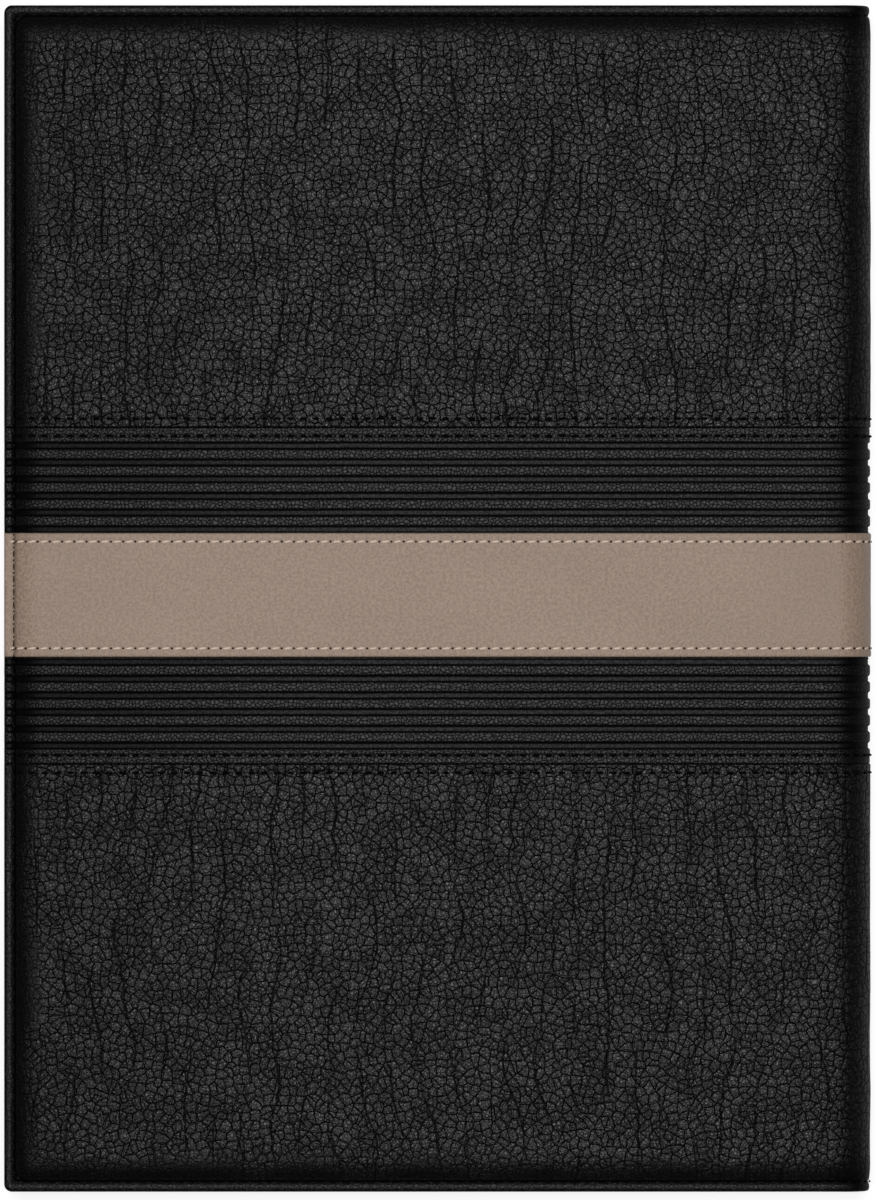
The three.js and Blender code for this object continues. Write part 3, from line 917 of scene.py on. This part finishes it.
@dataclass
class BandPanel(Panel):
    """The sewn band over the ribbed panel."""

    skin: float = 0.55
    pull: float = 0.16
    puff: float = 0.1
    wave_depth: float = 0.04

    turned_edge = ((0, 3.9, 0.5), (0.3, 4.1, 1))

    def relief(self, u: np.ndarray, y: np.ndarray) -> Relief:
        """Return the pull of the stitches, a little waviness, and painted shade at the folded edges, along
        the rows and towards both ends.
        """
        soft = SmoothNoise(self.seed)
        away = np.minimum(np.abs(y - self.low), np.abs(y - self.high))
        row = groove(away - ROW_INSET, 0.6)
        # Painted shade at the band's folded edges, along its rows and the rim's stitching, and towards both
        # ends.
        shade = 0.9 * np.clip(1 - away / 0.45, 0, 1) + 0.12 * row + 0.7 * self.rim_shade(u, y)
        shade += 0.15 * (1 - smooth_step(5, 60, u)) + 0.3 * on_roll(u, -45, 0)
        depth = self.pull * row - self.puff * groove(away - 1.2, 0.8)
        depth += self.wave_depth * soft.fractal(u / 12, y / 12)
        return Relief(depth, shade, np.zeros_like(u))


def new_object(name: str, vertices: Iterable, faces: Sequence) -> bpy.types.Object:
    """Return a smooth-shaded mesh object at the origin.

    Args:
        name: Name of the piece.
        vertices: Points in metres.
        faces: Lists of vertex numbers.

    Returns:
        The object, in the scene.
    """
    mesh = bpy.data.meshes.new(name)
    mesh.from_pydata([tuple(map(float, v)) for v in vertices], [], faces)
    mesh.polygons.foreach_set("use_smooth", [True] * len(mesh.polygons))
    made = bpy.data.objects.new(name, mesh)
    bpy.context.scene.collection.objects.link(made)
    return made


def put_number(target: bpy.types.Object, name: str, values: np.ndarray) -> None:
    """Store one number for each vertex."""
    attribute = target.data.attributes.new(name, "FLOAT", "POINT")
    attribute.data.foreach_set("value", values.astype(np.float32))


def put_vector(target: bpy.types.Object, name: str, values: np.ndarray) -> None:
    """Store one vector for each vertex."""
    attribute = target.data.attributes.new(name, "FLOAT_VECTOR", "POINT")
    attribute.data.foreach_set("vector", values.astype(np.float32).reshape(-1))


Row = tuple[np.ndarray, np.ndarray]


@dataclass(frozen=True)
class StitchSize:
    """One kind of stitch, in millimetres."""

    pitch: float
    length: float
    width: float
    height: float
    slant: float = 0.0
    hole: float = 0.45


class StitchNodes:
    """A Geometry Nodes group that sews stitches along a line."""

    names = ("Pitch", "Length", "Width", "Height", "Slant", "Hole")
    around = 6

    def __init__(self, thread: bpy.types.Material, hole: bpy.types.Material) -> None:
        """Build the group.

        Args:
            thread: Material of the stitches.
            hole: Material of the dark beads at the needle holes, which are painted shade in the holes.
        """
        self.group = bpy.data.node_groups.new("sewing", "GeometryNodeTree")
        face = self.group.interface
        face.new_socket("Geometry", in_out="INPUT", socket_type="NodeSocketGeometry")
        for name in self.names:
            face.new_socket(name, in_out="INPUT", socket_type="NodeSocketFloat")
        face.new_socket("Geometry", in_out="OUTPUT", socket_type="NodeSocketGeometry")
        self.source = self.group.nodes.new("NodeGroupInput")
        curve = self.add("GeometryNodeMeshToCurve", {}, {0: self.given("Geometry")})
        pitch = {"Curve": curve, "Length": self.given("Pitch")}
        spaced = self.add("GeometryNodeResampleCurve", {"mode": "LENGTH"}, pitch)
        tangent = self.add("GeometryNodeInputTangent", {}, {})
        lift = self.add("GeometryNodeInputNamedAttribute", {"data_type": "FLOAT_VECTOR"}, {"Name": "lift"})
        along = self.add("FunctionNodeAlignRotationToVector", {"axis": "X"}, {"Vector": tangent})
        upright = {"axis": "Z", "pivot_axis": "X"}
        turned = self.add("FunctionNodeAlignRotationToVector", upright, {"Rotation": along, "Vector": lift})
        stitch = self.bead(5, ("Length", "Width", "Height"), 0.0, thread)
        # Dark beads between the stitches are painted shade in the needle holes.
        pit = self.bead(3, ("Hole", "Hole", "Height"), 0.5, hole)
        both = self.group.nodes.new("GeometryNodeJoinGeometry")
        self.group.links.new(stitch, both.inputs[0])
        self.group.links.new(pit, both.inputs[0])
        values = {"Points": spaced, "Instance": both.outputs[0], "Rotation": turned}
        sewn = self.add("GeometryNodeInstanceOnPoints", {}, values)
        real = self.add("GeometryNodeRealizeInstances", {}, {0: sewn})
        end = self.group.nodes.new("NodeGroupOutput")
        self.group.links.new(real, end.inputs[0])

    def given(self, name: str) -> Any:
        """Return one of the group's own inputs."""
        return self.source.outputs[name]

    def add(self, kind: str, settings: dict[str, Any], inputs: dict[Any, Any]) -> Any:
        """Add a node and return its first output.

        Args:
            kind: Blender's type name of the node.
            settings: Attributes to set on it.
            inputs: Values or sockets, by input name or index.

        Returns:
            The node's first output that is in use.
        """
        made = self.group.nodes.new(kind)
        for name, value in settings.items():
            setattr(made, name, value)
        for name, value in inputs.items():
            if isinstance(value, bpy.types.NodeSocket):
                self.group.links.new(value, made.inputs[name])
            else:
                made.inputs[name].default_value = value
        return next(socket for socket in made.outputs if socket.enabled)

    def bead(self, rings: int, sides: Sequence[str], shift: float, finish: bpy.types.Material) -> Any:
        """Return a flattened bead with its own material.

        Args:
            rings: Rings along the bead.
            sides: The inputs that give its size along X, Y and Z.
            shift: How far along the line it lies, in stitches.
            finish: Its material.

        Returns:
            The geometry socket.
        """
        values = {"Segments": self.around, "Rings": rings, "Radius": 0.5}
        ball = self.add("GeometryNodeMeshUVSphere", {}, values)
        size = self.add("ShaderNodeCombineXYZ", {}, dict(enumerate(self.given(side) for side in sides)))
        across = self.add("ShaderNodeMath", {"operation": "MULTIPLY"}, {0: self.given("Pitch"), 1: shift})
        offset = self.add("ShaderNodeCombineXYZ", {}, {0: across})
        turn = self.add("ShaderNodeCombineXYZ", {}, {} if shift else {2: self.given("Slant")})
        placed = {"Geometry": ball, "Translation": offset, "Rotation": turn, "Scale": size}
        moved = self.add("GeometryNodeTransform", {}, placed)
        return self.add("GeometryNodeSetMaterial", {}, {"Geometry": moved, "Material": finish})

    def sew(self, name: str, rows: Sequence[Row], size: StitchSize) -> bpy.types.Object:
        """Return rows of stitches as one plain mesh.

        Args:
            name: Name of the piece.
            rows: Each row's points in millimetres, and the surface's outward direction at each.
            size: The stitches' size.

        Returns:
            The piece.
        """
        points = np.concatenate([line for line, _ in rows]) * MM
        edges, start = [], 0
        for line, _ in rows:
            edges += [(start + i, start + i + 1) for i in range(len(line) - 1)]
            start += len(line)
        mesh = bpy.data.meshes.new(name + "_line")
        mesh.from_pydata([tuple(map(float, p)) for p in points], edges, [])
        guide = bpy.data.objects.new(name + "_line", mesh)
        bpy.context.scene.collection.objects.link(guide)
        put_vector(guide, "lift", np.concatenate([lift for _, lift in rows]))
        modifier = guide.modifiers.new("sewing", "NODES")
        modifier.node_group = self.group
        sizes = (size.pitch, size.length, size.width, size.height, size.slant / MM, size.hole)
        inputs = (item for item in self.group.interface.items_tree if item.in_out == "INPUT")
        sockets = {item.name: item.identifier for item in inputs}
        for key, value in zip(self.names, sizes):
            modifier[sockets[key]] = value * MM
        evaluated = guide.evaluated_get(bpy.context.evaluated_depsgraph_get())
        sewn = bpy.data.meshes.new_from_object(evaluated)
        sewn.name = name
        if "lift" in sewn.attributes:
            sewn.attributes.remove(sewn.attributes["lift"])
        sewn.polygons.foreach_set("use_smooth", [True] * len(sewn.polygons))
        made = bpy.data.objects.new(name, sewn)
        bpy.context.scene.collection.objects.link(made)
        bpy.data.objects.remove(guide)
        log.info("%s: %d faces", name, len(sewn.polygons))
        return made


@dataclass
class LeatherHalf:
    """Half the folder's leather with its stitching."""

    half: Half
    finishes: Finishes
    sewing: dict[str, StitchNodes]
    grain_step: float
    rib_step: float
    fill: float = 0.8
    seam_thread: StitchSize = StitchSize(3.6, 2.3, 0.95, 0.5, hole=0.5)
    band_thread: StitchSize = StitchSize(3.44, 2.7, 0.72, 0.7, slant=0.13, hole=0.8)
    rim_thread: StitchSize = StitchSize(3.6, 2.5, 0.6, 0.5, hole=0.8)
    seam_sunk: float = 0.14
    band_sunk: float = 0.22
    rim_sunk: float = 0.0

    def __post_init__(self) -> None:
        """Make the outer form."""
        self.form = HalfForm(self.half)

    def bend(self, piece: bpy.types.Object) -> None:
        """Bake a piece's transform into its mesh."""
        bend(piece, self.half)

    def panel(self, panel: Panel, finish: bpy.types.Material, slot: str, node: str) -> None:
        """Build one panel, dress it and set it in place of its CAD nodes."""
        piece = panel.build()
        piece.data.materials.append(finish)
        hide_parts(f"{self.half.value}_{node}", f"spine_{node}")
        self.bend(piece)
        log.info("%s: %d faces", piece.name, len(piece.data.polygons))

    def build(self) -> None:
        """Build the four panels and the stitching."""
        side, form = self.half.value, self.form
        low, high = BAND_CENTRE - SEAM_HALF, BAND_CENTRE + SEAM_HALF
        middle = BAND_CENTRE + BAND_SHIFT
        edges = (middle - BAND_HALF, middle + BAND_HALF)
        seed = 11 if self.half is Half.UPPER else 57
        grain, ribbed = self.finishes.grain, self.finishes.ribbed
        step = self.grain_step
        head = GrainPanel(f"{side}_head_leather", form, high, HALF_HEIGHT, step, seed, pebble=2.5)
        foot = GrainPanel(f"{side}_foot_leather", form, -HALF_HEIGHT, low, step, seed + 20, pebble=2.9)
        ribs = RibbedPanel(f"{side}_ribbed_leather", form, low, high, self.rib_step, seed + 40)
        band = BandPanel(f"{side}_band_leather", form, *edges, self.rib_step, seed + 60)
        self.panel(head, grain, "grain_leather", "grain_panel_head")
        self.panel(foot, grain, "grain_leather", "grain_panel_foot")
        self.panel(ribs, ribbed, "ribbed_leather", "ribbed_panel")
        self.panel(band, self.finishes.band, "band_leather", "band")
        self.rows("seam_stitches", "black", self.seam_thread, self.seam_lines(), self.seam_sunk)
        self.rows("band_stitches", "tan", self.band_thread, self.band_lines(), self.band_sunk)
        self.rows("rim_stitches", "black", self.rim_thread, [self.rim_line()], self.rim_sunk)

    def seam_lines(self) -> list[np.ndarray]:
        """Return the rows beside the two seams."""
        rows = [BAND_CENTRE + seam * SEAM_HALF + side * ROW_INSET for seam in (-1, 1) for side in (-1, 1)]
        return [self.row(y, 4.5) for y in rows]

    def band_lines(self) -> list[np.ndarray]:
        """Return the rows along the band's two edges."""
        middle, inset = BAND_CENTRE + BAND_SHIFT, BAND_HALF - ROW_INSET
        return [self.row(middle + side * inset, 2.0) for side in (-1, 1)]

    def row(self, y: float, start: float) -> np.ndarray:
        """Return a straight row from near the fore edge to the middle of the spine."""
        u = np.arange(start, HALF_LENGTH - 0.6, ROW_STEP)
        return np.stack([u, np.full_like(u, y)], axis=-1)

    def rim_line(self) -> np.ndarray:
        """Return the line round the rim, from the spine's head to its foot."""
        inset, radius, end = STITCH_INSET, 2.0, FLAT_LENGTH + 11
        top = HALF_HEIGHT - inset
        across = np.arange(end, inset + radius, -ROW_STEP)
        turn = np.linspace(0, math.pi / 2, 5)
        corner_u = inset + radius * (1 - np.sin(turn))
        corner_y = top - radius * (1 - np.cos(turn))
        down = np.arange(top - radius - ROW_STEP, -(top - radius), -ROW_STEP)
        u = np.concatenate([across, corner_u, np.full_like(down, inset), corner_u[::-1], across[::-1]])
        head, foot = np.full_like(across, top), np.full_like(across, -top)
        y = np.concatenate([head, corner_y, down, -corner_y[::-1], foot])
        return np.stack([u, y], axis=-1)

    def rows(
        self, name: str, thread: str, size: StitchSize, lines: Sequence[np.ndarray], sunk: float
    ) -> None:
        """Sew rows of stitches onto the leather.

        Args:
            name: Name of the piece, after the half's.
            thread: Which thread it is sewn with.
            size: The stitches' size.
            lines: Each row on the flat leather.
            sunk: How far below the padded form the stitches' middle lies.
        """
        rows = []
        for line in lines:
            u, y = line[:, 0], line[:, 1]
            depth = self.form.depth(u, y) + sunk
            here = self.form.place(u, y, depth)
            rows.append((here, self.form.place(u, y, depth - 1) - here))
        self.bend(self.sewing[thread].sew(f"{self.half.value}_{name}", rows, size))


@dataclass
class GutterLining:
    """The lining that covers the board's edge and follows the roll to the middle of the spine."""

    half: Half
    start_x: float = 99.25
    level: float = 6.75
    radius: float = 5.3
    thickness: float = 0.6
    end_margin: float = 2.0
    board_gap: float = 0.95
    bend_radius: float = 0.6
    fall_gap: float = 0.34
    fall_lean: float = 0.02
    toe_gap: float = 0.15
    toe_height: float = 0.18
    sections: int = 120

    def line(self) -> np.ndarray:
        """Return the middle line in the XZ plane, from the cover to the spine's middle."""
        brink, low = ROLL_CENTRE - self.board_gap, self.level - self.bend_radius
        floor = ROLL_RADIUS - self.radius
        flat = [(x, self.level) for x in np.linspace(self.start_x, brink, 14)]
        turn = [
            (brink + self.bend_radius * math.sin(a), low + self.bend_radius * math.cos(a))
            for a in np.linspace(0, math.pi / 2, 6)[1:]
        ]
        fall = [
            (ROLL_CENTRE - self.fall_gap + self.fall_lean * share, low - (low - floor - 0.5) * share)
            for share in (0.35, 0.7, 1.0)
        ]
        arc = [
            (ROLL_CENTRE + self.radius * math.sin(a), ROLL_RADIUS - self.radius * math.cos(a))
            for a in np.linspace(0.03, math.pi / 2, 19)
        ]
        toe = (ROLL_CENTRE - self.toe_gap, floor + self.toe_height)
        return np.array([*flat, *turn, *fall, toe, *arc, (ROLL_CENTRE + self.radius, THICKNESS / 2)])

    def build(self, finish: bpy.types.Material) -> None:
        """Build the strip.

        Args:
            finish: Its material.
        """
        line = self.line()
        along = np.gradient(line, axis=0)
        along /= np.linalg.norm(along, axis=1, keepdims=True)
        side = np.stack([-along[:, 1], along[:, 0]], axis=-1) * self.thickness / 2
        loop = np.concatenate([line + side, (line - side)[::-1]])
        end = HALF_HEIGHT - self.end_margin
        ys = np.linspace(-end, end, self.sections)
        points = np.array([(x, y, z) for y in ys for x, z in loop])
        count = len(loop)
        near = [(i, (i + 1) % count) for i in range(count)]
        faces = [
            (start + i, start + j, start + count + j, start + count + i)
            for start in range(0, (len(ys) - 1) * count, count)
            for i, j in near
        ]
        caps = [tuple(range(count))[::-1], tuple((len(ys) - 1) * count + i for i in range(count))]
        faces = [face[::-1] for face in [*faces, *caps]]
        if self.half is Half.UPPER:
            points[:, 2] = THICKNESS - points[:, 2]
            faces = [face[::-1] for face in faces]
        made = new_object(f"{self.half.value}_gutter_lining", points * MM, faces)
        made.data.materials.append(finish)
        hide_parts(f"{self.half.value}_gutter_strip", "spine_lining")
        bend(made, self.half)
        log.info("%s: %d faces", made.name, len(made.data.polygons))


@dataclass
class Seams:
    """The rows of stitching on the linings and the pockets."""

    sewing: StitchNodes
    lining_top: float = 7.05
    pocket_top: float = 8.0
    pad_pocket_top: float = 9.05
    tiers: int = 3
    tier_height: float = 0.85
    tier_step: float = 14.0
    lining_end: float = 98.0
    size: StitchSize = StitchSize(3.6, 2.5, 0.45, 0.3, hole=0.5)

    def trace(self, corners: Sequence[tuple[float, float]], level: float, top: bool) -> Row:
        """Return the points of a row through the given corners, and its outward directions.

        Args:
            corners: Places in the XY plane.
            level: Height from the cover's outside.
            top: Whether it is on the upper cover, whose inside faces down.

        Returns:
            Points and directions.
        """
        points = []
        for (x0, y0), (x1, y1) in zip(corners, corners[1:]):
            count = max(int(math.hypot(x1 - x0, y1 - y0)), 1)
            share = np.linspace(0, 1, count, endpoint=False)
            points += [(x0 + (x1 - x0) * t, y0 + (y1 - y0) * t) for t in share]
        points.append(corners[-1])
        height = THICKNESS - level if top else level
        line = np.array([(x, y, height) for x, y in points])
        return line, np.tile([0.0, 0.0, -1.0 if top else 1.0], (len(line), 1))

    def edge(self) -> list[tuple[float, float]]:
        """Return the corners of the row round a cover's lining."""
        far, near, end = HALF_HEIGHT - STITCH_INSET, FORE_EDGE + STITCH_INSET, self.lining_end
        return [(end, far), (near, far), (near, -far), (end, -far)]

    def front(self) -> list[Row]:
        """Return the front cover's rows: lining, document pocket and three card pockets."""
        low, mouth, left, right = -161.2, 58.5, -116.2, 92.7
        pocket = [(left, mouth), (left, low), (right, low), (right, mouth)]
        pocket = [(-44.5, mouth), *pocket, (21, mouth)]
        rows = [self.trace(self.edge(), self.lining_top, False), self.trace(pocket, self.pocket_top, False)]
        card_left, card_right, card_low, card_top = -98.3, -2.7, -55.3, 6.0
        for tier in range(self.tiers):
            level = self.pocket_top + self.tier_height * (tier + 1)
            top = card_top - self.tier_step * tier
            sides = [(card_left, card_low), (card_left, top), (card_right, top), (card_right, card_low)]
            rows.append(self.trace(sides, level, False))
        return rows

    def back(self) -> list[Row]:
        """Return the back cover's rows: lining and the pocket that holds the pad."""
        left, right, mouth, low = -116.2, 96.0, -54.0, -161.2
        pocket = [(left, mouth), (left, low), (right, low), (right, mouth)]
        return [
            self.trace(self.edge(), self.lining_top, True),
            self.trace(pocket, self.pad_pocket_top, True),
        ]

    def build(self) -> None:
        """Sew the rows of both covers."""
        for body, rows in (("front_cover", self.front()), ("back_cover", self.back())):
            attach(self.sewing.sew(f"{body}_lining_stitches", rows, self.size), body)


class Inside:
    """The boards, linings, pockets and writing pad that keep their CAD forms."""

    def __init__(self, finishes: Finishes) -> None:
        """Keep the finishes."""
        self.by_node = {
            "foam": finishes.foam,
            "stiffener": finishes.board,
            "front_board": finishes.board,
            "back_board": finishes.board,
            "backing_board": finishes.card,
            "sheets": finishes.paper,
            "tape": finishes.tape,
            "loop": finishes.elastic,
        }
        self.plain = finishes.lining

    def dress(self) -> None:
        """Give every CAD node that is still shown its node material."""
        for name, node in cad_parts.items():
            finish = next((f for key, f in self.by_node.items() if key in name), self.plain)
            node.data.materials.clear()
            node.data.materials.append(finish)
        log.info("dressed %d CAD nodes", len(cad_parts))


@dataclass
class Studio:
    """Camera, lamp, floor and background."""

    pixels_per_mm: float = 3.546
    photo_height: float = 1200.0
    centre_x: float = 0.14
    centre_y: float = -0.42
    distance: float = 3.0
    lamp_place: tuple[float, float, float] = (0.0, 0.12, 1.5)
    lamp_size: float = 0.9
    lamp_power: float = 22.0
    world_level: float = 0.06
    floor_half: float = 3.0
    floor_gap: float = 0.0004
    floor_tone: float = 0.6
    seen_tone: float = 0.42
    seen_glow: float = 0.76

    def camera(self) -> None:
        """Look straight down through a long lens."""
        data = bpy.data.cameras.new("camera")
        data.type = "PERSP"
        data.sensor_fit = "VERTICAL"
        data.sensor_height = 24
        span = self.photo_height / self.pixels_per_mm * MM
        data.lens = data.sensor_height * (self.distance - THICKNESS * MM) / span
        data.clip_end = 20
        camera = bpy.data.objects.new("camera", data)
        camera.location = (self.centre_x * MM, self.centre_y * MM, self.distance)
        bpy.context.scene.collection.objects.link(camera)
        bpy.context.scene.camera = camera

    def lamp(self) -> None:
        """Add a soft square lamp above, which faces the folder."""
        data = bpy.data.lights.new("overhead", "AREA")
        data.shape = "SQUARE"
        data.size = self.lamp_size
        data.energy = self.lamp_power
        lamp = bpy.data.objects.new("overhead", data)
        lamp.location = self.lamp_place
        lamp.rotation_euler = (-Vector(self.lamp_place)).to_track_quat("-Z", "Y").to_euler()
        lamp.visible_camera = False
        bpy.context.scene.collection.objects.link(lamp)

    def world(self) -> None:
        """Light the scene evenly, and show white to the camera."""
        world = bpy.data.worlds.new("studio")
        world.use_nodes = True
        bpy.context.scene.world = world
        nodes, links = world.node_tree.nodes, world.node_tree.links
        plain = nodes["Background"]
        plain.inputs["Color"].default_value = (1, 1, 1, 1)
        plain.inputs["Strength"].default_value = self.world_level
        white = nodes.new("ShaderNodeBackground")
        white.inputs["Color"].default_value = (1, 1, 1, 1)
        white.inputs["Strength"].default_value = 1.0
        rays = nodes.new("ShaderNodeLightPath")
        mix = nodes.new("ShaderNodeMixShader")
        links.new(rays.outputs["Is Camera Ray"], mix.inputs[0])
        links.new(plain.outputs[0], mix.inputs[1])
        links.new(white.outputs[0], mix.inputs[2])
        links.new(mix.outputs[0], nodes["World Output"].inputs["Surface"])

    def floor(self) -> None:
        """Lay a pale floor that looks white to the camera and keeps a soft shadow."""
        far, level = self.floor_half, -self.floor_gap
        corners = [(-far, -far, level), (far, -far, level), (far, far, level), (-far, far, level)]
        floor = new_object("floor", corners, [(0, 1, 2, 3)])
        tree = Tree("floor")
        rays = tree.node("ShaderNodeLightPath", {}, {}, "Is Camera Ray")
        glossy = tree.node("ShaderNodeLightPath", {}, {}, "Is Glossy Ray")
        seen = rays.math("MAXIMUM", glossy)
        tone = tree.colour(seen, grey(self.floor_tone), grey(self.seen_tone))
        tree.feed(tree.shader.inputs["Base Color"], tone)
        tree.shader.inputs["Roughness"].default_value = 0.9
        tree.shader.inputs["Specular IOR Level"].default_value = 0
        tree.shader.inputs["Emission Strength"].default_value = 1
        tree.feed(tree.shader.inputs["Emission Color"], tree.colour(seen, grey(0.0), grey(self.seen_glow)))
        floor.data.materials.append(tree.material)

    def build(self) -> None:
        """Set up the whole studio."""
        self.camera()
        self.world()
        self.floor()
        self.lamp()
        bpy.context.scene.view_settings.view_transform = "Standard"


def main() -> None:
    """Build the folder and the studio."""
    logging.basicConfig(level=logging.INFO, format="%(name)s: %(message)s")
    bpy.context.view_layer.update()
    finishes = Finishes()
    sewing = {
        "black": StitchNodes(finishes.black_thread, finishes.hole),
        "tan": StitchNodes(finishes.tan_thread, finishes.hole),
    }
    # The lower half, which the photo does not show, has a coarser grid.
    for half, grain_step, rib_step in ((Half.UPPER, 0.68, 0.9), (Half.LOWER, 1.1, 1.3)):
        LeatherHalf(half, finishes, sewing, grain_step, rib_step).build()
        GutterLining(half).build(finishes.lining)
    Seams(sewing["black"]).build()
    Inside(finishes).dress()
    Studio().build()


if __name__ == "__main__":
    main()
